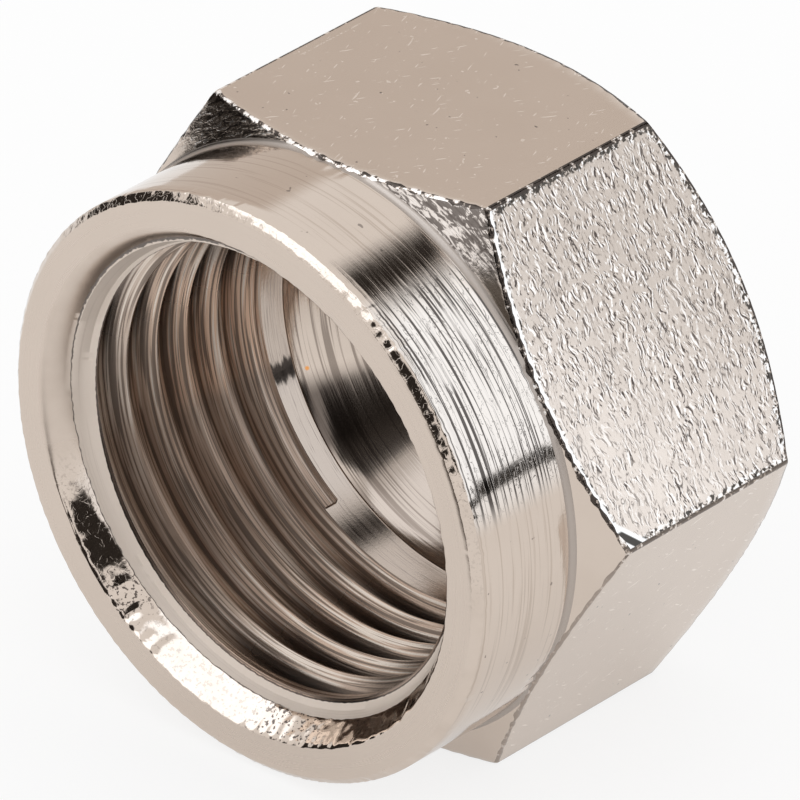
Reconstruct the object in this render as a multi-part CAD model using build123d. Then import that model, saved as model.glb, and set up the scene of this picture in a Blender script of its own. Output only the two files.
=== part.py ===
"""Compression nut: a hexagon with a turned collar, threaded from the collar end.

All sizes are in millimetres. The axis lies along Y with the mouth towards -Y,
one flat points up (+Z) and the origin is on the axis at half of the length.
"""
import os
from math import radians, tan

from build123d import *

# Hexagon
hex_across_flats = 22.0
hex_edge_radius = 0.15
overall_length = 15.4

# Collar in front of the hexagon
collar_diameter = 21.95
collar_length = 4.7
collar_edge_break = 0.3
neck_radius = 0.3

# Turned cones over the corners of the hexagon, angles measured from the end faces
front_cone_angle = 30.0
back_cone_angle = 36.0
back_face_diameter = 21.0
corner_clearance = 0.5

# Mouth: a countersink in the face, a short straight wall and a chamfer into the thread
countersink_diameter = 19.0
countersink_length = 0.95
wall_diameter = 17.8
wall_length = 0.33
chamfer_length = 0.37

# Thread with the relief behind it, as the bore inside the crests
crest_diameter = 16.7
threaded_length = 7.65
relief_length = 1.55

# Conical seat that presses on the ferrule, and the plain bore that passes the tube
seat_half_angle = 45.0
tube_diameter = 12.0
tube_clearance = 0.2
tube_exit_break = 0.3


def y_at(depth):
    """Y of the plane that lies this deep behind the mouth face."""
    return depth - overall_length / 2


def hexagon_bar():
    """Hexagonal bar over the full length, its long edges slightly rounded."""
    outline = Plane.XZ * RegularPolygon(hex_across_flats / 2, 6, major_radius=False)
    bar = extrude(outline, overall_length / 2, both=True)
    return fillet(bar.edges().filter_by(Axis.Y), hex_edge_radius)


def turned_outline():
    """Outside as turned: collar, neck, front cone, back cone and end face."""
    collar_r = collar_diameter / 2
    back_r = back_face_diameter / 2
    outer_r = RegularPolygon(hex_across_flats / 2, 6, major_radius=False).radius + corner_clearance
    front_rise = (outer_r - collar_r) * tan(radians(front_cone_angle))
    back_rise = (outer_r - back_r) * tan(radians(back_cone_angle))
    neck = (collar_r, y_at(collar_length))
    profile = Polyline(
        (0, y_at(0)),
        (collar_r - collar_edge_break, y_at(0)),
        (collar_r, y_at(collar_edge_break)),
        neck,
        (outer_r, y_at(collar_length + front_rise)),
        (outer_r, y_at(overall_length - back_rise)),
        (back_r, y_at(overall_length)),
        (0, y_at(overall_length)),
        close=True,
    )
    face = make_face(profile)
    corner = face.vertices().sort_by_distance(neck)[0]
    return revolve(fillet(corner, neck_radius), Axis.Y)


def bore():
    """Everything hollow, from the mouth to the exit of the tube."""
    countersink_r = countersink_diameter / 2
    wall_r = wall_diameter / 2
    crest_r = crest_diameter / 2
    tube_r = (tube_diameter + tube_clearance) / 2
    chamfer_depth = countersink_length + wall_length
    crest_depth = chamfer_depth + chamfer_length
    seat_depth = crest_depth + threaded_length + relief_length
    seat_length = (crest_r - tube_r) / tan(radians(seat_half_angle))
    profile = Polyline(
        (0, y_at(0)),
        (countersink_r, y_at(0)),
        (wall_r, y_at(countersink_length)),
        (wall_r, y_at(chamfer_depth)),
        (crest_r, y_at(crest_depth)),
        (crest_r, y_at(seat_depth)),
        (tube_r, y_at(seat_depth + seat_length)),
        (tube_r, y_at(overall_length - tube_exit_break)),
        (tube_r + tube_exit_break, y_at(overall_length)),
        (0, y_at(overall_length)),
        close=True,
    )
    return revolve(make_face(profile), Axis.Y)

def compression_nut():
    """The whole nut, one piece of metal."""
    return (hexagon_bar() & turned_outline()) - bore()


os.makedirs("parts", exist_ok=True)
export_step(compression_nut(), "parts/nut.step")
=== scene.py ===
from math import atan2, cos, degrees, hypot, pi, radians, sin, sqrt, tan

import bpy
import numpy as np
from mathutils import Matrix, Vector


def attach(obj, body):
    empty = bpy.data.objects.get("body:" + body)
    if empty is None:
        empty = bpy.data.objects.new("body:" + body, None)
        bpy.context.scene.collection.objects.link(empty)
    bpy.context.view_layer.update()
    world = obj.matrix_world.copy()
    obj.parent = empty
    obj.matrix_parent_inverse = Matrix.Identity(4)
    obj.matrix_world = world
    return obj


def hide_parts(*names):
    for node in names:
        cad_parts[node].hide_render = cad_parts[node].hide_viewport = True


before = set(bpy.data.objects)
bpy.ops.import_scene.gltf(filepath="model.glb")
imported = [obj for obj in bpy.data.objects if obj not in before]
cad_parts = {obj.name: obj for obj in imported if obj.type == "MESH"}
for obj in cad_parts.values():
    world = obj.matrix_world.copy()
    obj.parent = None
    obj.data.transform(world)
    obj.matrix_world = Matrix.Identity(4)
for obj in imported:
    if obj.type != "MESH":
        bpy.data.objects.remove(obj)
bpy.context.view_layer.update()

# Lengths are in mm, as in the part's source. The axis runs along Y and depths
# count from the mouth face at Y = -HALF_LENGTH. Azimuth 0 points along +X and 90 along +Z.
MM = 0.001

# Hexagon and the cones turned over its corners
ACROSS_FLATS = 22.0
CORNER_RADIUS = 0.17
LENGTH = 15.4
HALF_LENGTH = LENGTH / 2
FRONT_SLOPE = tan(radians(30.0))
BACK_SLOPE = tan(radians(36.0))
BACK_FACE_RADIUS = 10.5

# Degrees on each side of a corner that count as its worn edge, the width of the worn edges of the cones
# with its limits, and the two rough flats, counted from azimuth 30
CORNER_BAND = 0.45
WORN_WIDTH = 0.10
WORN_LIMITS = (0.03, 0.2)
ROUGH_SIDES = (0, 3)

# Rows of mesh points as shares of a length: on a flat, closer together by the collar, and elsewhere
FLAT_ROWS = (0.06, 0.14, 0.24, 0.36, 0.48, 0.60, 0.70, 0.78, 0.85, 0.90, 0.94, 0.975)
FIFTHS = (0.2, 0.4, 0.6, 0.8, 1.0)

# Distance between the textures of two flats, so that no two look the same
FLAT_SHIFT = 40.0

# Collar
COLLAR_RADIUS = 10.965
COLLAR_LENGTH = 4.7
EDGE_BREAK = 0.3
NECK_RADIUS = 0.3

# Mouth: a forged countersink that leans towards one azimuth, a short tapered wall, a chamfer, then the
# thread. The countersink's outer edge is rounded over part of the turn.
FACE_INNER_RADIUS = 9.52
SINK_DEPTH = 0.83
SINK_LEAN = 0.24
SINK_LEAN_AZIMUTH = 262.0
SINK_SLOPE = 0.611
SINK_ROWS = (0.05, 0.15, 0.27, 0.39, 0.51, 0.63, 0.75, 0.87, 1.0)
ROUNDED_FROM = 100.0
ROUNDED_TO = 200.0
WALL_RADIUS = 8.97
CHAMFER_RADIUS = 8.72
CHAMFER_START = 1.40
CHAMFER_END = 1.63

# Left-hand thread. It comes up in the chamfer over half a turn and runs out shallower in its last one.
PITCH = 1.5
CREST_RADIUS = 8.36
FLANK_SLOPE = tan(radians(30.0))
EDGE_DEPTHS_AT_START = (0.6, 1.3)
TURNS_FROM_END = (0.0, 0.35, 0.8, 1.0)
DEPTHS_AT_END = (0.15, 0.17, 0.68, 0.75)
WIDTHS_AT_END = (0.49, 0.50, 0.56, 0.57)
THREAD_END_AZIMUTH = 233.5
LAST_EDGE_DEPTH = 9.28
GROOVE_LIMIT = 10.2

# Turns of groove that the mesh has before and after the thread's end, and its rows of points in each pitch.
# After the end, the rows from RUN_OUT_END on belong to the relief.
PITCHES = range(-6, 2)
STATIONS = 9
RUN_OUT_END = 7

# Behind the thread: relief, conical seat and the bore for the tube
RELIEF_RADIUS = 8.36
SEAT_START = 10.85
SEAT_SLOPE = 1.0
BORE_RADIUS = 6.1
BORE_BREAK = 0.3


def fade(angles, end, width):
    """1 before an azimuth in degrees and 0 after it. With a negative width it is 0 before and 1 after."""
    return 1 / (1 + np.exp((angles - end) / width))


def column_angles():
    """Angles of the mesh columns in radians from the thread's end on, close together at the corners."""
    near = (0.11, 0.22, 0.33, 0.45, 0.62, 0.9)
    one_side = list(near) + list(np.linspace(1.3, 30.0, 41))[:-1]
    angles = []
    for corner in range(0, 360, 60):
        angles.append(corner)
        angles += [corner + a for a in one_side]
        angles += [corner - a for a in one_side]
        angles.append(corner + 30)
    turn = np.sort((np.array(angles, float) - THREAD_END_AZIMUTH) % 360.0)
    return np.radians(turn)


def hexagon_radius(azimuth, corner_radius):
    """Distance of the hexagon's outline from the axis, its corners rounded."""
    off_corner = (np.degrees(azimuth) + 30.0) % 60.0 - 30.0
    delta = np.radians(np.abs(off_corner))
    flat = (ACROSS_FLATS / 2) / np.cos(pi / 6 - delta)
    centre = (ACROSS_FLATS / 2 - corner_radius) / cos(pi / 6)
    inside = np.maximum(corner_radius ** 2 - (centre * np.sin(delta)) ** 2, 0.0)
    arc = centre * np.cos(delta) + np.sqrt(inside)
    tangent = np.arctan(corner_radius * 0.5 / (centre + corner_radius * cos(pi / 6)))
    return np.where(delta < tangent, arc, flat)


def groove_section(edge_depth, turns_to_end):
    """Corners of one groove up to the next crest: distances behind the crest's deep edge, and radii."""
    start = np.interp(edge_depth, EDGE_DEPTHS_AT_START, (0.0, 1.0))
    depth = start * np.interp(turns_to_end, TURNS_FROM_END, DEPTHS_AT_END)
    width = np.interp(turns_to_end, TURNS_FROM_END, WIDTHS_AT_END)
    if turns_to_end < 0:
        depth = 0.0
    flank = depth * FLANK_SLOPE
    far = flank + width
    top = far + flank
    root = CREST_RADIUS + depth
    return (
        (0.0, CREST_RADIUS), (0.5 * flank, CREST_RADIUS + 0.5 * depth), (flank, root),
        (flank + 0.5 * width, root), (far, root), (far + 0.33 * flank, root - 0.33 * depth),
        (far + 0.67 * flank, root - 0.67 * depth), (top, CREST_RADIUS),
        (0.5 * (top + PITCH), CREST_RADIUS),
    )


class Skin:
    """Mesh of columns round the axis, with material and texture coordinates."""

    def __init__(self):
        self.turn = column_angles()
        self.azimuths = self.turn + radians(THREAD_END_AZIMUTH)
        self.around = np.degrees(self.azimuths) % 360
        self.points, self.faces, self.zones, self.uvs = [], [], [], []

    def wave(self, seed, high, low):
        """Smooth random wave round the axis, of low to high periods a turn, with a spread of about 1."""
        rng = np.random.default_rng(seed)
        total = np.zeros(len(self.azimuths))
        for k in range(low, high + 1):
            total += rng.normal() * np.cos(k * self.azimuths + rng.uniform(0, 2 * pi))
        return total / sqrt((high - low + 1) / 2) / sqrt(2)

    def point(self, azimuth, radius, depth):
        """Adds a point and returns its number."""
        self.points.append((radius * cos(azimuth), depth - HALF_LENGTH, radius * sin(azimuth)))
        return len(self.points) - 1

    def ring(self, radii, depths):
        """One closed ring of points; returns their numbers."""
        radii = np.broadcast_to(np.asarray(radii, float), self.azimuths.shape)
        depths = np.broadcast_to(np.asarray(depths, float), self.azimuths.shape)
        return np.array([self.point(*place) for place in zip(self.azimuths, radii, depths)])

    def rings(self, start, end, shares):
        """Rings at shares of the way from one line round the axis to another, each with radii and depths."""
        (r0, d0), (r1, d1) = start, end
        return [self.ring(r0 + (r1 - r0) * share, d0 + (d1 - d0) * share) for share in shares]

    def face(self, corners, zone, uvs):
        """Adds a face, without the corners that come twice."""
        kept, kept_uvs = [], []
        for c, uv in zip(corners, uvs):
            if c not in kept:
                kept.append(int(c))
                kept_uvs.append(uv)
        if len(kept) > 2:
            self.faces.append(kept)
            self.zones.append(zone)
            self.uvs.append(kept_uvs)

    def band(self, before, after, zone, v0, v1):
        """Faces between two rings, v0 and v1 mm along the section. zone is one name or one a column."""
        n = len(self.azimuths)
        for i in range(n):
            j = (i + 1) % n
            self.face(
                (before[i], before[j], after[j], after[i]), zone if isinstance(zone, str) else zone[i],
                ((i, v0), (i + 1, v0), (i + 1, v1), (i, v1)),
            )

    def join(self, rings, zone, v=0.0):
        """Joins rings one after another. v is the length along the section at the first of them."""
        mid = len(self.azimuths) // 2
        for before, after in zip(rings, rings[1:]):
            step = (Vector(self.points[after[mid]]) - Vector(self.points[before[mid]])).length
            self.band(before, after, zone, v, v + step)
            v += step


def flat_zones(azimuths):
    """Names of the surface round the hexagon: its rounded corners, four smooth flats and two rough ones."""
    following = np.append(azimuths[1:], azimuths[0] + 2 * pi)
    middle = np.degrees((azimuths + following) / 2)
    off_corner = np.abs((middle + 30.0) % 60.0 - 30.0)
    side = np.round((middle - 30.0) / 60.0).astype(int) % 6
    return ["edge" if off < CORNER_BAND else "rough_flat" if k in ROUGH_SIDES else "flat"
            for off, k in zip(off_corner, side)]


def build_nut():
    """The whole nut as one closed mesh, from the bore's back edge round the outside and back to that edge."""
    skin = Skin()
    bore_edge = skin.ring(BORE_RADIUS + BORE_BREAK, LENGTH)
    ring, edge_r, edge_d = add_hexagon(skin, bore_edge)
    ring = add_collar(skin, ring, edge_r, edge_d)
    ring, wall_end = add_mouth(skin, ring)
    add_inside(skin, ring, wall_end, bore_edge)
    return skin


def add_hexagon(skin, bore_edge):
    """Back face, back cone, flats and worn edges. Returns the last ring with its radii and depths."""
    outline = hexagon_radius(skin.azimuths, CORNER_RADIUS)
    back_depth = LENGTH - (outline - BACK_FACE_RADIUS) * BACK_SLOPE
    front_depth = COLLAR_LENGTH + (outline - COLLAR_RADIUS) * FRONT_SLOPE
    back = [bore_edge, skin.ring(8.5, LENGTH), skin.ring(BACK_FACE_RADIUS, LENGTH)]
    skin.join(back, "turned_face")

    back_cone = [back[-1]] + skin.rings((BACK_FACE_RADIUS, LENGTH), (outline, back_depth), (0.33, 0.66))
    worn = np.clip(WORN_WIDTH + 0.035 * skin.wave(11, 160, 20), *WORN_LIMITS)
    slope = hypot(1.0, BACK_SLOPE)
    back_cone.append(skin.ring(outline - worn / slope, back_depth + worn / slope * BACK_SLOPE))
    skin.join(back_cone, "cone")
    back_edge = [back_cone[-1],
                 skin.ring(outline - 0.32 * worn / slope, back_depth + 0.08 * worn),
                 skin.ring(outline, back_depth - worn)]
    skin.join(back_edge, "edge")

    front_worn = np.clip(WORN_WIDTH + 0.04 * skin.wave(12, 170, 25), *WORN_LIMITS)
    start, end = back_depth - worn, front_depth + front_worn
    flats = [back_edge[-1]] + skin.rings((outline, start), (outline, end), FLAT_ROWS)
    flats.append(skin.ring(outline, end))
    skin.join(flats, flat_zones(skin.azimuths))

    back_off = front_worn / hypot(1.0, FRONT_SLOPE)
    edge_r, edge_d = outline - back_off, front_depth - back_off * FRONT_SLOPE
    front_edge = [flats[-1],
                  skin.ring(outline - 0.08 * front_worn, front_depth + 0.42 * front_worn),
                  skin.ring(outline - 0.45 * back_off, front_depth + 0.02 * front_worn),
                  skin.ring(edge_r, edge_d)]
    skin.join(front_edge, "edge")
    return front_edge[-1], edge_r, edge_d


def add_collar(skin, ring, edge_r, edge_d):
    """Front cone, neck, collar and its broken edge. Returns the last ring."""
    bend = pi / 2 - atan2(FRONT_SLOPE, 1.0)
    run = NECK_RADIUS * tan(bend / 2)
    cone_r = np.minimum(COLLAR_RADIUS + run / hypot(1.0, FRONT_SLOPE), edge_r)
    cone_d = COLLAR_LENGTH + (cone_r - COLLAR_RADIUS) * FRONT_SLOPE
    cone = [ring] + skin.rings((edge_r, edge_d), (cone_r, cone_d), FIFTHS)
    skin.join(cone, "cone")
    neck = [cone[-1]]
    centre_r, centre_d = COLLAR_RADIUS + NECK_RADIUS, COLLAR_LENGTH - run
    for share in FIFTHS:
        angle = bend * (1 - share)
        neck.append(skin.ring(np.minimum(centre_r - NECK_RADIUS * cos(angle), edge_r),
                              centre_d + NECK_RADIUS * sin(angle)))
    skin.join(neck, "neck")

    rows = np.linspace(0, 1, 12)[1:-1]
    collar = [neck[-1]] + skin.rings((COLLAR_RADIUS, centre_d), (COLLAR_RADIUS, 0.45), rows)
    front_break = np.clip(EDGE_BREAK - 0.03 + 0.02 * skin.wave(13, 180, 40), 0.18, 0.36)
    collar.append(skin.ring(COLLAR_RADIUS, front_break + 0.02))
    skin.join(collar, "collar")
    rim_break = np.clip(EDGE_BREAK - 0.03 + 0.015 * skin.wave(14, 180, 40), 0.2, 0.34)
    rim = [collar[-1]]
    for share, seed in ((0.08, 15), (0.37, 16), (0.65, 17), (0.93, 18)):
        dent = 0.004 * skin.wave(seed, 170, 40)
        rim.append(skin.ring(COLLAR_RADIUS - rim_break * share - np.abs(dent),
                             front_break * (1 - share) + dent))
    rim.append(skin.ring(COLLAR_RADIUS - rim_break - 0.02, 0.0))
    skin.join(rim, "rim")
    return rim[-1]


def add_mouth(skin, ring):
    """Mouth face, forged countersink and wall. Returns the last ring and its depths."""
    rounded = fade(skin.around, ROUNDED_FROM, -6.0) * fade(skin.around, ROUNDED_TO, 8.0)
    sink_in = FACE_INNER_RADIUS + 0.02 * skin.wave(21, 130, 8) * (1 - rounded) + 0.18 * rounded
    face = [ring] + skin.rings((COLLAR_RADIUS, 0.0), (FACE_INNER_RADIUS, 0.0), (0.35, 0.6, 0.82))
    face.append(skin.ring(sink_in + 0.03, 0.0))
    skin.join(face, "turned_face")

    lean = np.cos(skin.azimuths - radians(SINK_LEAN_AZIMUTH))
    sink_depth = SINK_DEPTH + SINK_LEAN * lean + 0.012 * skin.wave(22, 160, 20)
    sink_radius = FACE_INNER_RADIUS - SINK_SLOPE * sink_depth
    crinkled = (0.25 + 0.75 * fade(np.abs(skin.around - 252.0), 60.0, 4.0)) * (1 - 0.9 * rounded)
    sink = [face[-1]]
    for k, share in enumerate(SINK_ROWS):
        dent = crinkled * (0.003 * skin.wave(30 + k, 170, 40) + 0.007 * skin.wave(50 + k // 3, 80, 10))
        if share in (SINK_ROWS[0], SINK_ROWS[-1]):
            dent = dent * 0.3
        radii = sink_in + (sink_radius - sink_in) * share
        shape = share + (share ** 1.9 - share) * rounded
        sink.append(skin.ring(radii + dent, sink_depth * shape + 0.5 * dent))
    skin.join(sink, "countersink")

    wall_start = sink_depth + 0.05
    wall_top = np.minimum(WALL_RADIUS, sink_radius - 0.02)
    wall_end = np.maximum(CHAMFER_START, wall_start + 0.02)
    wall = [sink[-1]] + skin.rings((wall_top, wall_start), (CHAMFER_RADIUS, wall_end), (0.0, 0.5, 1.0))
    skin.join(wall, "wall")
    return wall[-1], wall_end


def add_inside(skin, ring, wall_end, bore_edge):
    """Chamfer, thread, relief, seat and bore, as far as the bore's edge in the back face."""
    columns = [helix_column(t / (2 * pi)) for t in skin.turn]
    top_r, top_d = thread_start(columns, wall_end)
    top = skin.ring(top_r, top_d)
    stained_from = 0.62 + 0.24 * fade(skin.around, 188.0, 6.0) + 0.02 * skin.wave(23, 240, 90)
    middle = skin.rings((CHAMFER_RADIUS, wall_end), (top_r, top_d), (stained_from,))[0]
    skin.join([ring, middle], "chamfer")
    skin.band(middle, top, "lead_in", 0.0, 0.3)

    bottom = skin.ring(RELIEF_RADIUS, GROOVE_LIMIT)
    add_thread(skin, columns, top, top_d, bottom)

    relief_start, relief_end = (RELIEF_RADIUS, GROOVE_LIMIT), (RELIEF_RADIUS, SEAT_START)
    relief = [bottom] + skin.rings(relief_start, relief_end, (0.3, 0.6, 0.9))
    relief.append(skin.ring(RELIEF_RADIUS, SEAT_START - 0.02))
    skin.join(relief, "relief", GROOVE_LIMIT)
    seat_end = (BORE_RADIUS, SEAT_START + (RELIEF_RADIUS - BORE_RADIUS) / SEAT_SLOPE)
    seat = [relief[-1], skin.ring(RELIEF_RADIUS - 0.025, SEAT_START + 0.025 / SEAT_SLOPE)]
    seat += skin.rings(relief_end, seat_end, FIFTHS)
    skin.join(seat, "seat")
    bore = [seat[-1]] + skin.rings(seat_end, (BORE_RADIUS, LENGTH - BORE_BREAK), (0.33, 0.66, 1.0))
    skin.join(bore + [bore_edge], "bore", seat_end[1])


def helix_column(fraction):
    """Depths and radii of the rows in the column this share of a turn after the thread's end."""
    rows = []
    for k in PITCHES:
        edge = LAST_EDGE_DEPTH + PITCH * (fraction - 1 + k)
        rows += [(edge + after, radius) for after, radius in groove_section(edge, 1 - fraction - k)]
    return np.array(rows)


def thread_start(columns, wall_end):
    """Radii and depths of the line where the chamfer of the mouth meets the thread."""
    radii, depths = [], []
    for rows, start in zip(columns, wall_end):
        slope = (CREST_RADIUS - CHAMFER_RADIUS) / (CHAMFER_END - start)
        tries = np.linspace(CHAMFER_END, start + 0.02, 80)
        above = CHAMFER_RADIUS + slope * (tries - start) > np.interp(tries, rows[:, 0], rows[:, 1])
        depth = tries[np.argmax(above)] if above.any() else tries[-1]
        depths.append(depth)
        radii.append(CHAMFER_RADIUS + slope * (depth - start))
    return np.array(radii), np.array(depths)


def add_thread(skin, columns, top, top_d, bottom):
    """Rows along the helix between the ring that ends the chamfer and the ring below the last groove.

    Texture coordinates of the thread: length along the helix, and length along the section from the
    crest's edge. Rows of no depth share their points.
    """
    count, total = len(columns), len(columns[0])
    table = np.full((total, count), -1, int)
    for i, rows in enumerate(columns):
        for j, (depth, r) in enumerate(rows):
            if depth <= top_d[i] + 0.012:
                table[j, i] = top[i]
            elif depth >= GROOVE_LIMIT - 0.01:
                table[j, i] = bottom[i]
            elif j and np.abs(rows[j] - rows[j - 1]).max() < 1e-6:
                table[j, i] = table[j - 1, i]
            else:
                table[j, i] = skin.point(skin.azimuths[i], r, depth)
    first_plain = -PITCHES[0] * STATIONS + RUN_OUT_END
    turns = np.append((skin.azimuths - skin.azimuths[0]) / (2 * pi), 1.0)
    lengths = [np.append(0.0, np.cumsum(np.hypot(*np.diff(rows, axis=0).T))) for rows in columns]
    for i in range(count):
        for j in range(total - 1):
            a, d = table[j, i], table[j + 1, i]
            if i < count - 1:
                b, c = table[j, i + 1], table[j + 1, i + 1]
            else:
                # a turn later, the same depth belongs to the row one pitch further on
                b = table[j + STATIONS, 0] if j + STATIONS < total else bottom[0]
                c = table[j + 1 + STATIONS, 0] if j + 1 + STATIONS < total else bottom[0]
            if j >= first_plain:
                v0, v1 = columns[i][j, 0], columns[i][j + 1, 0]
                skin.face((a, b, c, d), "relief", ((i, v0), (i + 1, v0), (i + 1, v1), (i, v1)))
            else:
                k = j // STATIONS
                v0, v1 = (lengths[i][m] - lengths[i][k * STATIONS] for m in (j, j + 1))
                u0, u1 = (2 * pi * CREST_RADIUS * (k + turns[m]) for m in (i, i + 1))
                skin.face((a, b, c, d), "thread", ((u0, v0), (u1, v0), (u1, v1), (u0, v1)))
    if any(table[j, 0] != top[0] for j in range(STATIONS + 1)):
        raise RuntimeError("the thread starts too low at its seam")


ZONES = ("flat", "rough_flat", "edge", "cone", "neck", "collar", "rim", "turned_face", "countersink",
         "wall", "chamfer", "lead_in", "thread", "relief", "seat", "bore")


def texture_places(skin):
    """Texture coordinates in mm of every corner of every face: along the turning lines, and across them."""
    azimuths = np.append(skin.azimuths, skin.azimuths[0] + 2 * pi)
    places = []
    for face, zone, uvs in zip(skin.faces, skin.zones, skin.uvs):
        if zone == "thread":
            places += uvs
            continue
        angles = [azimuths[int(u)] for u, _ in uvs]
        side = round((degrees(sum(angles) / len(angles)) - 30.0) / 60.0)
        normal = radians(30.0 + 60.0 * side)
        for (_, v), angle, corner in zip(uvs, angles, face):
            x, y, z = skin.points[corner]
            r = hypot(x, z)
            if zone in ("flat", "rough_flat"):
                places.append((-x * sin(normal) + z * cos(normal) + FLAT_SHIFT * (side % 6), y))
            else:
                places.append((angle * r, r if zone in ("cone", "turned_face") else v))
    return np.array(places)


def make_object(skin):
    """Blender object of the skin, with texture coordinates in mm and sharp edges marked."""
    mesh = bpy.data.meshes.new("nut_skin")
    mesh.from_pydata([tuple(c * MM for c in p) for p in skin.points], [], skin.faces)
    mesh.update()
    mesh.uv_layers.new(name="mm").data.foreach_set("uv", texture_places(skin).ravel())
    for name in ZONES:
        mesh.materials.append(MATERIALS[name])
    mesh.polygons.foreach_set("material_index", [ZONES.index(z) for z in skin.zones])
    mesh.polygons.foreach_set("use_smooth", [True] * len(mesh.polygons))
    mark_sharp(mesh, 32.0)
    obj = bpy.data.objects.new("nut_detailed", mesh)
    bpy.context.scene.collection.objects.link(obj)
    return obj


def mark_sharp(mesh, limit):
    """Marks edges where the surface turns by more than limit degrees."""
    normals = np.zeros(len(mesh.polygons) * 3)
    mesh.polygons.foreach_get("normal", normals)
    normals = normals.reshape(-1, 3)
    loop_edges = np.zeros(len(mesh.loops), int)
    mesh.loops.foreach_get("edge_index", loop_edges)
    totals = np.zeros(len(mesh.polygons), int)
    mesh.polygons.foreach_get("loop_total", totals)
    owner = np.repeat(np.arange(len(totals)), totals)
    order = np.argsort(loop_edges, kind="stable")
    edges, owners = loop_edges[order], owner[order]
    pair = np.nonzero(edges[1:] == edges[:-1])[0]
    dots = (normals[owners[pair]] * normals[owners[pair + 1]]).sum(1)
    sharp = np.zeros(len(mesh.edges), bool)
    sharp[edges[pair[dots < cos(radians(limit))]]] = True
    attribute = mesh.attributes.new("sharp_edge", "BOOLEAN", "EDGE")
    attribute.data.foreach_set("value", sharp)


class Graph:
    """Short hand for building a node tree. A method's arguments are sockets or numbers."""

    def __init__(self, tree):
        self.tree = tree
        tree.nodes.clear()

    def node(self, kind, inputs=(), **settings):
        """New node, its inputs given as sockets or values."""
        node = self.tree.nodes.new(kind)
        for key, value in settings.items():
            setattr(node, key, value)
        for key, value in dict(inputs).items():
            self.put(node.inputs[key], value)
        return node

    def put(self, socket, value):
        if isinstance(value, bpy.types.NodeSocket):
            self.tree.links.new(value, socket)
        else:
            socket.default_value = value

    def math(self, operation, *values):
        node = self.node("ShaderNodeMath", operation=operation)
        for k, value in enumerate(values):
            self.put(node.inputs[k], value)
        return node.outputs[0]

    def mul(self, a, b):
        return self.math("MULTIPLY", a, b)

    def add(self, a, b):
        return self.math("ADD", a, b)

    def sub(self, a, b):
        return self.math("SUBTRACT", a, b)

    def most(self, a, b):
        return self.math("MAXIMUM", a, b)

    def ramp(self, value, low, high, to_low=0.0, to_high=1.0, smooth=True):
        """to_low up to low, to_high from high on, and a smooth or straight change between them."""
        node = self.node("ShaderNodeMapRange", {"Value": value, "From Min": low, "From Max": high,
                                                "To Min": to_low, "To Max": to_high})
        node.interpolation_type = "SMOOTHSTEP" if smooth else "LINEAR"
        return node.outputs["Result"]

    def between(self, share, a, b, smooth=True):
        """a where share is 0 and b where it is 1."""
        return self.ramp(share, 0.0, 1.0, a, b, smooth)

    def window(self, value, low, high, soft):
        """1 between low and high, 0 outside, with soft edges."""
        rise = self.ramp(value, low - soft, low + soft)
        fall = self.ramp(value, high - soft, high + soft, 1.0, 0.0)
        return self.mul(rise, fall)

    def mix(self, factor, a, b):
        """Colour a where factor is 0 and b where it is 1."""
        node = self.node("ShaderNodeMix", data_type="RGBA")
        self.put(node.inputs[0], factor)
        self.put(node.inputs[6], a)
        self.put(node.inputs[7], b)
        return node.outputs[2]

    def noise(self, vector, scale, detail=2.0, roughness=0.5, distortion=0.0):
        return self.node("ShaderNodeTexNoise", {"Vector": vector, "Scale": scale, "Detail": detail,
                                                "Roughness": roughness,
                                                "Distortion": distortion}).outputs["Fac"]

    def combine(self, x, y, z):
        return self.node("ShaderNodeCombineXYZ", {"X": x, "Y": y, "Z": z}).outputs[0]

    def separate(self, vector):
        return self.node("ShaderNodeSeparateXYZ", {"Vector": vector}).outputs

    def bump(self, height, microns, normal=None):
        """Normal of a surface with this height, which may lie over another bump."""
        inputs = {"Height": height, "Strength": 1.0, "Distance": microns * 1e-6}
        if normal is not None:
            inputs["Normal"] = normal
        return self.node("ShaderNodeBump", inputs).outputs[0]


NICKEL = (0.66, 0.565, 0.49)
NICKEL_DARK = (0.50, 0.41, 0.34)
NICKEL_HIGHLIGHT = (0.88, 0.80, 0.73)
BURNISHED = (0.95, 0.90, 0.86)
MATT_NICKEL = (0.74, 0.645, 0.565)
THREAD_BROWN = (0.57, 0.43, 0.34)
# Soot, and painted shade in the thread's roots
SOOT_AND_SHADE = (0.10, 0.08, 0.07)
BLACK = (0.07, 0.055, 0.05)
BLACKER = (0.05, 0.04, 0.035)
BLACKEST = (0.04, 0.035, 0.03)


def start_metal(name, roughness, colour=NICKEL):
    """New plated material. Returns it with its graph, shader and coordinates in mm."""
    material = bpy.data.materials.new(name)
    material.use_nodes = True
    g = Graph(material.node_tree)
    shader = g.node("ShaderNodeBsdfPrincipled", {"Metallic": 1.0, "Roughness": roughness,
                                                 "Base Color": (*colour, 1.0)})
    out = g.node("ShaderNodeOutputMaterial")
    g.tree.links.new(shader.outputs[0], out.inputs[0])
    metres = g.node("ShaderNodeTexCoord").outputs["Object"]
    mm = g.node("ShaderNodeVectorMath", {0: metres, 1: (1 / MM, 1 / MM, 1 / MM)}, operation="MULTIPLY")
    u, v, _ = g.separate(g.node("ShaderNodeUVMap", uv_map="mm").outputs[0])
    return material, g, shader, mm.outputs[0], u, v


def contours(g, value, level, width):
    """Thin lines where a noise passes through a level."""
    return g.ramp(g.math("ABSOLUTE", g.sub(value, level)), 0.0, width, 1.0, 0.0)


def azimuth_of(g, mm):
    """Azimuth of a point in degrees, -180 to 180."""
    x, _, z = g.separate(mm)
    return g.math("DEGREES", g.math("ARCTAN2", z, x))


def wrapped_azimuth(g, mm):
    """Azimuth of a point in degrees, 0 to 360."""
    return g.math("WRAP", azimuth_of(g, mm), 360.0, 0.0)


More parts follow.
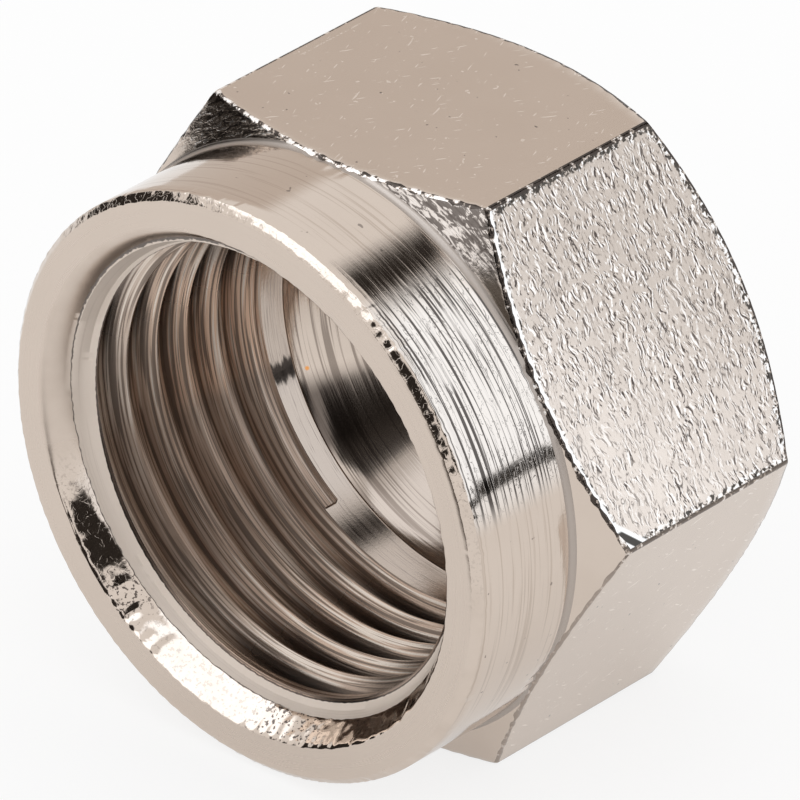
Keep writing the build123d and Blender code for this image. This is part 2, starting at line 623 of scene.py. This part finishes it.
def spot(g, mm, centre, inner, outer):
    """1 round a point of the surface, 0 further away."""
    distance = g.node("ShaderNodeVectorMath", {0: mm, 1: centre}, operation="DISTANCE").outputs["Value"]
    return g.ramp(distance, inner, outer, 1.0, 0.0)


def round_axis(g, mm, v, slow, lines):
    """Coordinates for lines round the axis: slow along them, fast across them."""
    x, _, z = g.separate(mm)
    return g.combine(g.mul(x, slow), g.mul(v, lines), g.mul(z, slow))


def stretched(g, u, v, along, across, seed):
    """Texture coordinates scaled along u and v. Each seed is another part of the noise."""
    return g.combine(g.mul(u, along), g.mul(v, across), seed)


def colours(g, shader, base, layers):
    """Lays tints over the base colour, each with its own mask."""
    c = (*base, 1.0)
    for mask, colour in layers:
        c = g.mix(mask, c, (*colour, 1.0))
    g.put(shader.inputs["Base Color"], c)


def cloud(g, mm, scale, amount):
    """Mask of slow colour change over the plating."""
    return g.mul(g.ramp(g.noise(mm, scale, 3.0), 0.35, 0.7), amount)


def turned(name, roughness, lines, fine, grain, base=NICKEL, tints=0.15, soot=0.0, dark=None):
    """Turned surface. fine and grain are heights in microns, lines the number of waves a mm.

    dark is the range of azimuths, 0 to 360, of a black patch that is a painted dark reflection.
    """
    material, g, shader, mm, _, v = start_metal(name, roughness, base)
    waves = g.noise(round_axis(g, mm, v, 0.12, lines), 1.0, 3.0, 0.6)
    marks = g.noise(round_axis(g, mm, v, 0.5, lines * 2.2), 1.0, 2.0, 0.6)
    first = g.bump(waves, fine)
    second = g.bump(marks, fine * 0.4, first)
    g.put(shader.inputs["Normal"], g.bump(g.noise(mm, 11.0, 3.0, 0.6), grain, second))
    rougher = g.ramp(waves, 0.3, 0.7, roughness * 0.7, roughness * 1.4, smooth=False)
    g.put(shader.inputs["Roughness"], rougher)
    layers = [(cloud(g, mm, 0.4, tints), NICKEL_DARK),
              (g.mul(contours(g, waves, 0.47, 0.03), soot), SOOT_AND_SHADE)]
    if dark:
        # black patch: a painted dark reflection
        ragged = g.add(wrapped_azimuth(g, mm), g.mul(waves, 6.0))
        layers.append((g.mul(g.window(ragged, dark[0] + 3.0, dark[1] + 3.0, 0.8), 0.95), BLACKER))
    colours(g, shader, base, layers)
    return material


def collar_metal():
    """Collar: turned, with deep crooked tool marks on its upper right side, painted nearly black as shade in
    their grooves.
    """
    material, g, shader, mm, u, v = start_metal("nickel_collar", 0.08)
    azimuth = azimuth_of(g, mm)
    torn = g.window(azimuth, 14.0, 58.0, 3.0)
    waves = g.noise(round_axis(g, mm, v, 0.12, 7.5), 1.0, 3.0, 0.6)
    grooves = g.noise(round_axis(g, mm, v, 0.11, 9.5), 1.0, 1.0, 0.5, 0.3)
    broken = g.ramp(g.noise(round_axis(g, mm, v, 0.35, 1.2), 1.0, 2.0), 0.34, 0.44, 0.3, 1.0)
    sway = g.noise(round_axis(g, mm, v, 0.10, 1.4), 1.0, 2.0, 0.5)
    comb = g.math("SINE", g.add(g.mul(v, 23.0), g.mul(sway, 16.0)))
    comb = g.mul(g.ramp(comb, 0.72, 0.95), g.ramp(grooves, 0.56, 0.48))
    cut = g.mul(g.most(g.ramp(grooves, 0.43, 0.39), comb), broken)
    tears = contours(g, g.noise(stretched(g, u, v, 0.9, 2.6, 4.0), 1.0, 3.0, 0.6, 0.8), 0.5, 0.013)
    # deep: the tool marks, bumped and painted nearly black as shade in their grooves
    deep = g.mul(g.most(cut, g.mul(tears, 0.7)), torn)
    height = g.mul(waves, g.between(torn, 1.0, 0.25))
    height = g.mul(height, g.between(g.window(azimuth, 55.0, 74.0, 4.0), 1.0, 5.5))
    first = g.bump(height, 2.4)
    second = g.bump(deep, -2.0, first)
    g.put(shader.inputs["Normal"], g.bump(g.noise(mm, 9.0, 3.0, 0.6), 0.8, second))
    faint = g.ramp(waves, 0.46, 0.34)
    shade = g.mul(g.ramp(waves, 0.48, 0.36), torn)
    nicks = g.ramp(g.noise(g.combine(u, v, 2.0), 3.2, 1.0), 0.235, 0.20)
    colours(g, shader, NICKEL, (
        (cloud(g, mm, 0.4, 0.1), NICKEL_DARK),
        (g.mul(faint, 0.6), (0.46, 0.375, 0.31)),
        (torn, (0.84, 0.775, 0.72)),
        (g.mul(shade, 0.3), (0.60, 0.55, 0.52)),
        (g.mul(nicks, 0.6), SOOT_AND_SHADE),
        # painted shade in the deep marks
        (g.mul(deep, 0.93), (0.06, 0.05, 0.045)),
    ))
    return material


def cone_metal():
    """Cones over the corners: turning lines, rough and sooty by the two upper corners."""
    material, g, shader, mm, _, v = start_metal("nickel_cone", 0.12)
    x, _, z = g.separate(mm)
    waves = g.noise(round_axis(g, mm, v, 0.10, 9.0), 1.0, 3.0, 0.65)
    upper = g.ramp(z, 8.5, 9.5)
    strokes = g.noise(round_axis(g, mm, v, 2.4, 8.0), 1.0, 3.0, 0.6, 0.6)
    rough = g.mul(g.noise(mm, 7.0, 3.0, 0.65, 0.5), g.between(upper, 0.3, 1.0))
    first = g.bump(waves, 3.0)
    second = g.bump(g.mul(strokes, upper), 14.0, first)
    g.put(shader.inputs["Normal"], g.bump(rough, 5.0, second))
    lines = g.mul(g.ramp(waves, 0.44, 0.36), upper)
    by_corner = g.mul(g.ramp(v, 11.5, 12.1, 0.0, 0.07), g.ramp(x, 3.0, 5.0))
    level = g.sub(strokes, g.add(by_corner, g.ramp(x, 0.0, 3.0, 0.0, 0.02)))
    dark = g.mul(g.ramp(level, 0.50, 0.42), upper)
    light = g.mul(g.ramp(level, 0.56, 0.62), upper)
    pale = g.mul(g.ramp(x, 1.0, 3.0), upper)
    colours(g, shader, NICKEL, (
        (cloud(g, mm, 0.4, 0.15), NICKEL_DARK),
        (g.mul(pale, 0.8), (0.88, 0.81, 0.76)),
        (g.mul(lines, 0.5), SOOT_AND_SHADE),
        (g.mul(dark, 0.85), SOOT_AND_SHADE),
        (g.mul(light, g.between(pale, 1.0, 0.4)), BURNISHED),
    ))
    return material


def edge_metal():
    """Worn edges of the hexagon: ragged, bright where they are burnished and black in the dents."""
    material, g, shader, mm, *_ = start_metal("nickel_edges", 0.12)
    patches = g.noise(mm, 3.6, 3.0, 0.6)
    grain = g.noise(mm, 8.0, 2.0, 0.6)
    g.put(shader.inputs["Normal"], g.bump(grain, 12.0, g.bump(patches, 20.0)))
    x, y, z = g.separate(mm)
    upper = g.ramp(z, -1.5, 1.0, 0.25, 1.0)
    burnished = g.mul(g.mul(g.ramp(x, 5.6, 5.0), g.ramp(z, 9.8, 10.4)), g.ramp(y, 0.0, -0.8))
    level = g.add(patches, g.mul(burnished, 0.11))
    black = g.mul(g.ramp(level, 0.60, 0.54), upper)
    bright = g.mul(g.ramp(level, 0.60, 0.66), upper)
    colours(g, shader, (0.46, 0.385, 0.33), ((g.mul(black, 0.95), BLACKER), (bright, BURNISHED)))
    return material


def forged(name, scale, microns, soot, crinkled, veins, dull):
    """Surface left by the forging die, crinkled between two azimuths, with a few dark pores there.

    scale is the size of the crinkles in waves a mm, soot the strength of the pores and veins the height of
    sharp ridges. dull is the roughness of the upper left, where the edge of the countersink is rounded.
    """
    smooth = 0.07
    material, g, shader, mm, *_ = start_metal(name, smooth)
    azimuth = azimuth_of(g, mm)
    strong = g.window(azimuth, *crinkled, 6.0)
    coarse = g.noise(mm, scale * 0.7, 2.0, 0.4, 0.4)
    crinkle = g.noise(mm, scale * 2.2, 2.0, 0.5, 0.3)
    ridges = contours(g, g.noise(mm, scale * 0.8, 1.0, 0.4, 0.5), 0.5, 0.035)
    ridged = g.most(g.window(azimuth, -166.0, -132.0, 4.0), g.ramp(azimuth, -60.0, -50.0))
    ridges = g.mul(g.mul(ridges, ridged), veins)
    blurred = g.window(wrapped_azimuth(g, mm), 98.0, 196.0, 12.0)
    g.put(shader.inputs["Roughness"], g.between(blurred, smooth, dull, smooth=False))
    height = g.add(coarse, g.add(g.mul(crinkle, 0.18), ridges))
    height = g.mul(height, g.between(strong, 0.15, 1.0))
    height = g.mul(height, g.between(g.window(azimuth, 92.0, 140.0, 5.0), 1.0, 2.6))
    g.put(shader.inputs["Normal"], g.bump(height, microns))
    ends = g.add(g.window(azimuth, -138.0, -128.0, 4.0), g.window(azimuth, -90.0, -72.0, 5.0))
    amount = g.mul(strong, g.between(ends, 0.25, 1.0))
    pores = g.mul(g.ramp(g.noise(mm, scale * 2.0, 2.0), 0.44, 0.38), amount)
    colours(g, shader, NICKEL, ((cloud(g, mm, 0.8, 0.2), NICKEL_DARK), (g.mul(pores, soot), SOOT_AND_SHADE)))
    return material


def smooth_flat():
    """Drawn flat: nearly even, with small scratches in two directions that are lightened as painted
    highlights, and a few dark specks.
    """
    material, g, shader, mm, u, v = start_metal("nickel_flat", 0.17)
    dashes = []
    for turn, seed in ((0.35, 0.0), (-0.6, 37.0)):
        along = g.add(g.mul(u, sin(turn)), g.mul(v, cos(turn)))
        across = g.sub(g.mul(u, cos(turn)), g.mul(v, sin(turn)))
        place = stretched(g, along, across, 1.2, 8.0, seed)
        dashes.append(g.ramp(g.noise(place, 1.0, 1.0, 0.4), 0.70, 0.76))
    light = g.most(*dashes)
    dots = g.ramp(g.noise(g.combine(u, v, 5.0), 4.5, 1.0), 0.73, 0.78)
    specks = g.ramp(g.noise(g.combine(u, v, 11.0), 3.5, 1.0), 0.77, 0.81)
    off_line = g.math("ABSOLUTE", g.sub(g.separate(mm)[0], -5.88))
    long_scratch = g.mul(spot(g, mm, (-5.9, 3.3, 11.0), 1.2, 1.7), g.ramp(off_line, 0.02, 0.05, 1.0, 0.0))
    light = g.most(light, g.mul(long_scratch, g.ramp(g.noise(mm, 6.0, 1.0), 0.4, 0.55)))
    light = g.most(light, dots)
    even = g.bump(g.noise(g.combine(u, v, 3.0), 9.0, 3.0, 0.6), 0.25)
    g.put(shader.inputs["Normal"], g.bump(light, 1.2, even))
    colours(g, shader, NICKEL, (
        (cloud(g, mm, 0.3, 0.10), NICKEL_DARK),
        # painted highlight on the scratches and light dots
        (g.mul(light, 0.7), NICKEL_HIGHLIGHT),
        (g.mul(specks, 0.7), SOOT_AND_SHADE),
    ))
    return material


def border_distance(g, u, v):
    """Place along a flat, and distances in mm from its nearest edge and from its edge by the collar."""
    along = g.math("WRAP", u, FLAT_SHIFT / 2, -FLAT_SHIFT / 2)
    radius = g.math("SQRT", g.add(g.mul(along, along), (ACROSS_FLATS / 2) ** 2))
    front = g.sub(g.sub(v, COLLAR_LENGTH - HALF_LENGTH), g.mul(g.sub(radius, COLLAR_RADIUS), FRONT_SLOPE))
    back = g.sub(g.sub(HALF_LENGTH, v), g.mul(g.sub(radius, BACK_FACE_RADIUS), BACK_SLOPE))
    side = g.sub(6.35, g.math("ABSOLUTE", along))
    return along, g.math("MINIMUM", g.math("MINIMUM", front, back), side), front


def rough_flat():
    """Flat with a coarse orange peel: short crooked strokes, with painted shade on one side and a painted
    highlight on the other.
    """
    material, g, shader, mm, u, v = start_metal("nickel_rough_flat", 0.16)
    along, border, front = border_distance(g, u, v)

    # Orange peel. Each stroke gets painted shade on one side and a painted highlight on the other
    bend = g.mul(g.noise(g.combine(u, v, 21.0), 0.8, 2.0), 0.7)
    strokes = []
    for shift in (0.0, 0.035):
        across = g.add(g.add(v, shift), bend)
        strokes.append(g.noise(stretched(g, u, across, 2.3, 5.4, 0.0), 1.0, 2.0, 0.55, 0.6))
    slope = g.sub(strokes[1], strokes[0])
    fine = g.noise(stretched(g, u, v, 4.0, 9.0, 3.0), 1.0, 2.0)
    spread = g.noise(g.combine(u, v, 9.0), 0.55, 3.0, 0.6)
    breaks = g.ramp(g.noise(g.combine(u, v, 15.0), 2.4, 2.0), 0.42, 0.52, 0.05, 1.0)
    slant = g.ramp(g.add(along, g.mul(v, 0.7)), -5.0, 6.0)
    busy = g.ramp(g.add(spread, g.mul(slant, 0.12)), 0.40, 0.62)
    amount = g.mul(g.between(busy, 0.6, 1.0), breaks)
    shaded_floors = g.mul(g.ramp(slope, 0.030, 0.058), amount)
    highlit_lips = g.mul(g.ramp(slope, -0.035, -0.065), amount)
    # specks: painted shade in the hollows of the fine bump
    specks = g.mul(g.ramp(fine, 0.42, 0.34), g.between(busy, 0.15, 0.9))
    scratch = contours(g, g.noise(stretched(g, u, v, 0.55, 1.6, 50.0), 1.0, 2.0, 0.5, 0.8), 0.5, 0.012)
    scratch = g.mul(scratch, g.ramp(g.noise(g.combine(u, v, 60.0), 0.7, 1.0), 0.50, 0.58))

    # Soot and burnished spots along the edges
    ragged = g.sub(border, g.mul(g.noise(g.combine(u, v, 33.0), 3.5, 2.0), 0.5))
    by_edge = g.ramp(ragged, 0.0, 0.08, 1.0, 0.0)
    patches = g.noise(g.combine(u, v, 40.0), 5.0, 2.0, 0.5, 0.6)
    level = g.add(patches, g.ramp(along, 4.5, 6.0, 0.0, -0.07))
    soot = g.mul(by_edge, g.ramp(level, 0.49, 0.43))
    burnish = g.mul(by_edge, g.ramp(level, 0.52, 0.58))
    lip = g.add(front, g.mul(g.noise(g.combine(u, v, 70.0), 4.0, 2.0), 0.22))
    burnish = g.most(burnish, g.ramp(lip, 0.36, 0.29))

    swell = g.noise(g.combine(u, v, 0.0), 1.2, 3.0, 0.6, 0.5)
    first = g.bump(swell, 26.0)
    second = g.bump(strokes[0], 24.0, first)
    g.put(shader.inputs["Normal"], g.bump(fine, 4.0, second))

    # Nick by the right-hand corner of the mouth side, drawn as a painted highlight with painted shade in its
    # core, and a black spot at the back edge
    across_tip = g.add(g.mul(g.add(along, v), 0.7071), 5.26)
    by_tip = g.mul(g.ramp(along, -4.6, -5.0), g.ramp(v, 0.0, -0.5))
    nick_highlight = g.mul(g.window(across_tip, -0.42, 0.10, 0.05), by_tip)
    nick_shade = g.mul(g.window(across_tip, -0.34, -0.06, 0.03), g.mul(by_tip, g.ramp(along, -5.5, -5.6)))
    black = spot(g, mm, (7.5, 6.95, 9.0), 0.12, 0.3)
    colours(g, shader, (0.79, 0.70, 0.63), (
        (g.mul(slant, 0.75), (0.50, 0.425, 0.365)),
        (cloud(g, mm, 0.5, 0.3), (0.56, 0.48, 0.42)),
        # painted shade in the pits
        (g.mul(specks, 0.75), (0.24, 0.19, 0.16)),
        # painted shade and painted highlight on the two sides of each stroke
        (g.mul(shaded_floors, 0.93), BLACK),
        (g.mul(highlit_lips, 0.95), (1.0, 0.95, 0.91)),
        (g.mul(scratch, 0.8), BLACK),
        (g.mul(soot, 0.92), BLACKEST),
        (burnish, (0.98, 0.96, 0.94)),
        # the nick's painted highlight and painted shade
        (g.mul(nick_highlight, 0.95), (1.0, 0.98, 0.96)),
        (g.mul(nick_shade, 0.95), (0.03, 0.025, 0.02)),
        (g.mul(black, 0.95), BLACKEST),
    ))
    return material


def thread_metal():
    """Thread: lighter at the mouth, browner further in, with fine tool lines along the helix."""
    material, g, shader, mm, u, v = start_metal("nickel_thread", 0.2)
    waves = g.noise(stretched(g, u, v, 0.10, 4.0, 0.0), 1.0, 2.0, 0.6)
    lines = g.noise(stretched(g, u, v, 0.15, 7.0, 7.0), 1.0, 1.0, 0.5)
    hairs = g.noise(stretched(g, u, v, 0.3, 15.0, 19.0), 1.0, 1.0, 0.5)
    dark = g.most(g.ramp(lines, 0.48, 0.41), g.ramp(hairs, 0.44, 0.36, 0.0, 0.8))
    light = g.ramp(lines, 0.54, 0.60)
    first = g.bump(waves, 7.0)
    second = g.bump(lines, 6.0, first)
    g.put(shader.inputs["Normal"], g.bump(g.noise(mm, 10.0, 3.0), 1.5, second))
    x, y, z = g.separate(mm)
    inside = g.ramp(y, -6.0, -3.5)
    azimuth = wrapped_azimuth(g, mm)
    stain = g.window(azimuth, 192.0, 233.0, 8.0)
    dull = g.window(azimuth, 172.0, 250.0, 12.0)
    g.put(shader.inputs["Roughness"], g.between(dull, 0.22, 0.4, smooth=False))
    # Painted shade: the roots of the groove are darkened towards black outside azimuths 170 to 248
    root = g.ramp(g.math("SQRT", g.add(g.mul(x, x), g.mul(z, z))), 8.75, 9.0)
    root_shade = g.mul(root, g.sub(1.0, g.window(azimuth, 170.0, 248.0, 8.0)))
    tan_band = g.mul(g.window(azimuth, 160.0, 196.0, 3.0), g.ramp(y, -4.0, -1.0))
    colours(g, shader, (0.60, 0.52, 0.455), (
        (inside, THREAD_BROWN),
        (cloud(g, mm, 0.7, 0.6), (0.44, 0.335, 0.265)),
        (g.mul(stain, 0.6), (0.40, 0.30, 0.24)),
        (g.mul(tan_band, 0.85), (0.70, 0.49, 0.365)),
        (g.mul(light, g.between(stain, 0.9, 0.35)), (0.74, 0.65, 0.57)),
        # painted shade in the roots
        (g.mul(root_shade, 0.75), SOOT_AND_SHADE),
        (g.mul(dark, 0.88), (0.18, 0.14, 0.115)),
    ))
    return material


def matt_metal(name, line_at_start=False):
    """Matt turned surface of the wall and of the chamfer's start, which may begin with a ragged dark line."""
    material, g, shader, mm, _, v = start_metal(name, 0.5)
    shader.inputs["Metallic"].default_value = 0.3
    waves = g.noise(round_axis(g, mm, v, 0.12, 9.0), 1.0, 3.0, 0.6)
    g.put(shader.inputs["Normal"], g.bump(waves, 2.0))
    layers = [(cloud(g, mm, 0.4, 0.1), NICKEL_DARK), (g.mul(g.ramp(waves, 0.44, 0.36), 0.25), NICKEL_DARK)]
    if line_at_start:
        ragged = g.sub(v, g.mul(g.noise(mm, 4.5, 2.0), 0.26))
        line = g.mul(g.ramp(ragged, -0.04, 0.0, 1.0, 0.0), g.ramp(g.separate(mm)[0], 2.0, 0.0))
        layers.append((g.mul(line, 0.9), SOOT_AND_SHADE))
    colours(g, shader, MATT_NICKEL, layers)
    return material


def lead_in_metal():
    """End of the chamfer, stained like the thread, with a ragged dark line where it begins."""
    material, g, shader, mm, _, v = start_metal("nickel_lead_in", 0.2)
    waves = g.noise(round_axis(g, mm, v, 0.12, 7.0), 1.0, 2.0, 0.6)
    g.put(shader.inputs["Normal"], g.bump(waves, 3.0))
    azimuth = wrapped_azimuth(g, mm)
    stain = g.window(azimuth, 150.0, 236.0, 8.0)
    reach = g.between(g.window(azimuth, 80.0, 192.0, 5.0), 0.045, 0.2, smooth=False)
    edge = g.sub(v, g.add(g.mul(g.noise(mm, 4.5, 2.0), 0.14), reach))
    line = g.ramp(edge, -0.015, 0.015, 1.0, 0.0)
    colours(g, shader, THREAD_BROWN, (
        (g.mul(stain, 0.85), (0.28, 0.215, 0.175)),
        (g.mul(g.ramp(waves, 0.54, 0.44), 0.8), (0.16, 0.12, 0.10)),
        (g.mul(line, 0.9), SOOT_AND_SHADE),
    ))
    return material


def seat_metal():
    """Conical seat: fine turning lines, with painted shade on its lower side, a black patch that is a painted
    dark reflection, and an orange speck.
    """
    material, g, shader, mm, _, v = start_metal("nickel_seat", 0.12)
    waves = g.noise(round_axis(g, mm, v, 0.10, 8.0), 1.0, 2.0, 0.6)
    g.put(shader.inputs["Normal"], g.bump(g.noise(mm, 9.0, 3.0), 0.5, g.bump(waves, 3.0)))
    # painted shade on the lower side
    lower = g.window(azimuth_of(g, mm), -129.0, -20.0, 6.0)
    # black patch: a painted dark reflection
    black = g.window(wrapped_azimuth(g, mm), 204.0, 223.0, 4.0)
    black = g.mul(black, g.ramp(v, 0.9, 1.8, 0.92, 0.5))
    speck = spot(g, mm, (-7.55, 3.45, -2.83), 0.04, 0.11)
    colours(g, shader, NICKEL, (
        (cloud(g, mm, 0.4, 0.2), NICKEL_DARK),
        (g.mul(lower, 0.95), (0.36, 0.30, 0.255)),
        (g.mul(g.ramp(waves, 0.48, 0.38), 0.65), (0.14, 0.105, 0.085)),
        (black, (0.13, 0.105, 0.09)),
        (speck, (0.80, 0.36, 0.12)),
    ))
    return material


MATERIALS = {
    "flat": smooth_flat(),
    "rough_flat": rough_flat(),
    "edge": edge_metal(),
    "cone": cone_metal(),
    "neck": turned("nickel_neck", 0.36, 9.0, 0.6, 0.5, base=(0.44, 0.385, 0.345), tints=0.1),
    "collar": collar_metal(),
    "rim": forged("nickel_rim", 4.6, 8.0, soot=0.5, crinkled=(0.0, 150.0), veins=0.15, dull=0.1),
    "turned_face": turned("nickel_face", 0.22, 8.0, 0.12, 0.15, tints=0.05),
    "countersink": forged("nickel_countersink", 3.8, 6.0, soot=0.95, crinkled=(-164.0, -45.0), veins=0.12,
                          dull=0.32),
    "wall": matt_metal("nickel_wall", line_at_start=True),
    "chamfer": matt_metal("nickel_chamfer"),
    "lead_in": lead_in_metal(),
    "thread": thread_metal(),
    # the relief's black patch is a painted dark reflection
    "relief": turned("nickel_relief", 0.14, 7.0, 2.5, 2.0, base=(0.54, 0.46, 0.40), soot=0.4,
                     dark=(196.5, 201.5)),
    "seat": seat_metal(),
    "bore": turned("nickel_bore", 0.16, 9.0, 1.5, 0.5),
}

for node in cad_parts.values():
    if not node.data.materials:
        node.data.materials.append(MATERIALS["collar"])

nut = make_object(build_nut())
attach(nut, "root")
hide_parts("nut")

WHITE = (1.0, 1.0, 1.0, 1.0)
OPENING = (0.03, 0.026, 0.023)

# Panels and openings of the light tent, each over those above it. Azimuths run towards +X from straight
# behind the nut or from straight before its mouth. Each row has two azimuths, two elevations, the softness
# of its border in degrees and its brightness.
TENT = (
    ("behind", -80, -38, -14, 34, 3.0, (0.72, 0.665, 0.62)),
    ("behind", 19, 108, 1.5, 46, 2.0, (1.12, 1.16, 1.2)),
    ("before", -86, 20, 41, 82, 3.0, (1.9, 2.0, 2.1)),
    ("before", 20, 80, 62, 82, 4.0, (1.8, 1.95, 2.1)),
    ("behind", -5, 18, 6, 61, 7.0, OPENING),
    ("behind", 28, 82, -4.0, 1.2, 0.6, OPENING),
    ("before", 16, 40.5, 5, 38, 2.0, OPENING),
    ("before", 51, 71, 6, 40, 2.0, OPENING),
    ("before", -97, -52, -4, 25, 2.0, OPENING),
    ("before", -6, 20, -28, 16, 2.0, (0.10, 0.09, 0.08)),
)

# The floor lies under the lowest flat. Reflections show the tent's dark front on it as well, from about
# 30 mm before the nut's middle.
FLOOR_RADIUS = 0.25
FLOOR_CORNERS = 96
FLOOR_PALE = (0.93, 0.93, 0.93, 1.0)
FLOOR_DARK = (0.12, 0.105, 0.095, 1.0)

# Camera, fitted to the photo: place in mm, direction of view and the picture's upward direction
CAMERA_PLACE = (255.732, -268.337, 215.411)
CAMERA_VIEW = (-0.596414, 0.626341, -0.501984)
CAMERA_UP = (-0.33084, 0.37824, 0.86457)
CAMERA_LENS = 558.5


def azimuth_before(g, x, y):
    """Azimuth in degrees from straight before the mouth, towards +X."""
    return g.math("DEGREES", g.math("ARCTAN2", x, g.mul(y, -1.0)))


def studio():
    """Light tent with brighter and dimmer panels and dark openings, which only reflections show.

    All else sees plain white.
    """
    world = bpy.data.worlds.new("studio")
    bpy.context.scene.world = world
    world.use_nodes = True
    g = Graph(world.node_tree)
    generated = g.node("ShaderNodeTexCoord").outputs["Generated"]
    x, y, z = g.separate(g.node("ShaderNodeVectorMath", {0: generated}, operation="NORMALIZE").outputs[0])
    elevation = g.math("DEGREES", g.math("ARCSINE", z))
    azimuths = {"behind": g.math("DEGREES", g.math("ARCTAN2", x, y)), "before": azimuth_before(g, x, y)}
    seen = WHITE
    for side, left, right, low, high, soft, brightness in TENT:
        mask = g.mul(g.window(azimuths[side], left, right, soft), g.window(elevation, low, high, soft))
        seen = g.mix(mask, seen, (*brightness, 1.0))
    reflected = g.node("ShaderNodeLightPath").outputs["Is Glossy Ray"]
    background = g.node("ShaderNodeBackground", {"Color": g.mix(reflected, WHITE, seen), "Strength": 1.0})
    out = g.node("ShaderNodeOutputWorld")
    g.tree.links.new(background.outputs[0], out.inputs[0])


def floor():
    """Pale round floor. It glows a little to the camera and in reflections, so that it looks white."""
    mesh = bpy.data.meshes.new("floor")
    rim = [(FLOOR_RADIUS * cos(2 * pi * k / FLOOR_CORNERS), FLOOR_RADIUS * sin(2 * pi * k / FLOOR_CORNERS),
            -ACROSS_FLATS / 2 * MM) for k in range(FLOOR_CORNERS)]
    mesh.from_pydata(rim, [], [list(range(FLOOR_CORNERS))])
    material = bpy.data.materials.new("floor")
    material.use_nodes = True
    g = Graph(material.node_tree)
    x, y, _ = g.separate(g.node("ShaderNodeTexCoord").outputs["Object"])
    before = azimuth_before(g, x, y)
    front = g.mul(g.window(before, -7.0, 17.0, 2.0), g.ramp(g.mul(y, -1.0), 0.027, 0.033))
    path = g.node("ShaderNodeLightPath").outputs
    shade = g.mul(front, path["Is Glossy Ray"])
    diffuse = g.node("ShaderNodeBsdfDiffuse", {"Color": g.mix(shade, FLOOR_PALE, FLOOR_DARK)})
    glow = g.node("ShaderNodeEmission", {"Color": g.mix(shade, WHITE, FLOOR_DARK), "Strength": 1.0})
    share = g.add(g.mul(path["Is Camera Ray"], 0.8), g.mul(path["Is Glossy Ray"], 0.5))
    mixed = g.node("ShaderNodeMixShader", {0: share, 1: diffuse.outputs[0], 2: glow.outputs[0]})
    out = g.node("ShaderNodeOutputMaterial")
    g.tree.links.new(mixed.outputs[0], out.inputs[0])
    mesh.materials.append(material)
    obj = bpy.data.objects.new("floor", mesh)
    bpy.context.scene.collection.objects.link(obj)


def camera():
    """Camera at the photo's viewing angle, on a narrow lens."""
    data = bpy.data.cameras.new("camera")
    data.sensor_width = 36.0
    data.lens = CAMERA_LENS
    data.clip_start = 0.01
    data.clip_end = 10.0
    obj = bpy.data.objects.new("camera", data)
    view = Vector(CAMERA_VIEW).normalized()
    right = view.cross(Vector(CAMERA_UP)).normalized()
    turn = Matrix((right, right.cross(view), -view)).transposed().to_4x4()
    obj.matrix_world = Matrix.Translation(Vector(CAMERA_PLACE) * MM) @ turn
    bpy.context.scene.collection.objects.link(obj)
    bpy.context.scene.camera = obj


studio()
floor()
camera()
bpy.context.scene.view_settings.view_transform = "Standard"
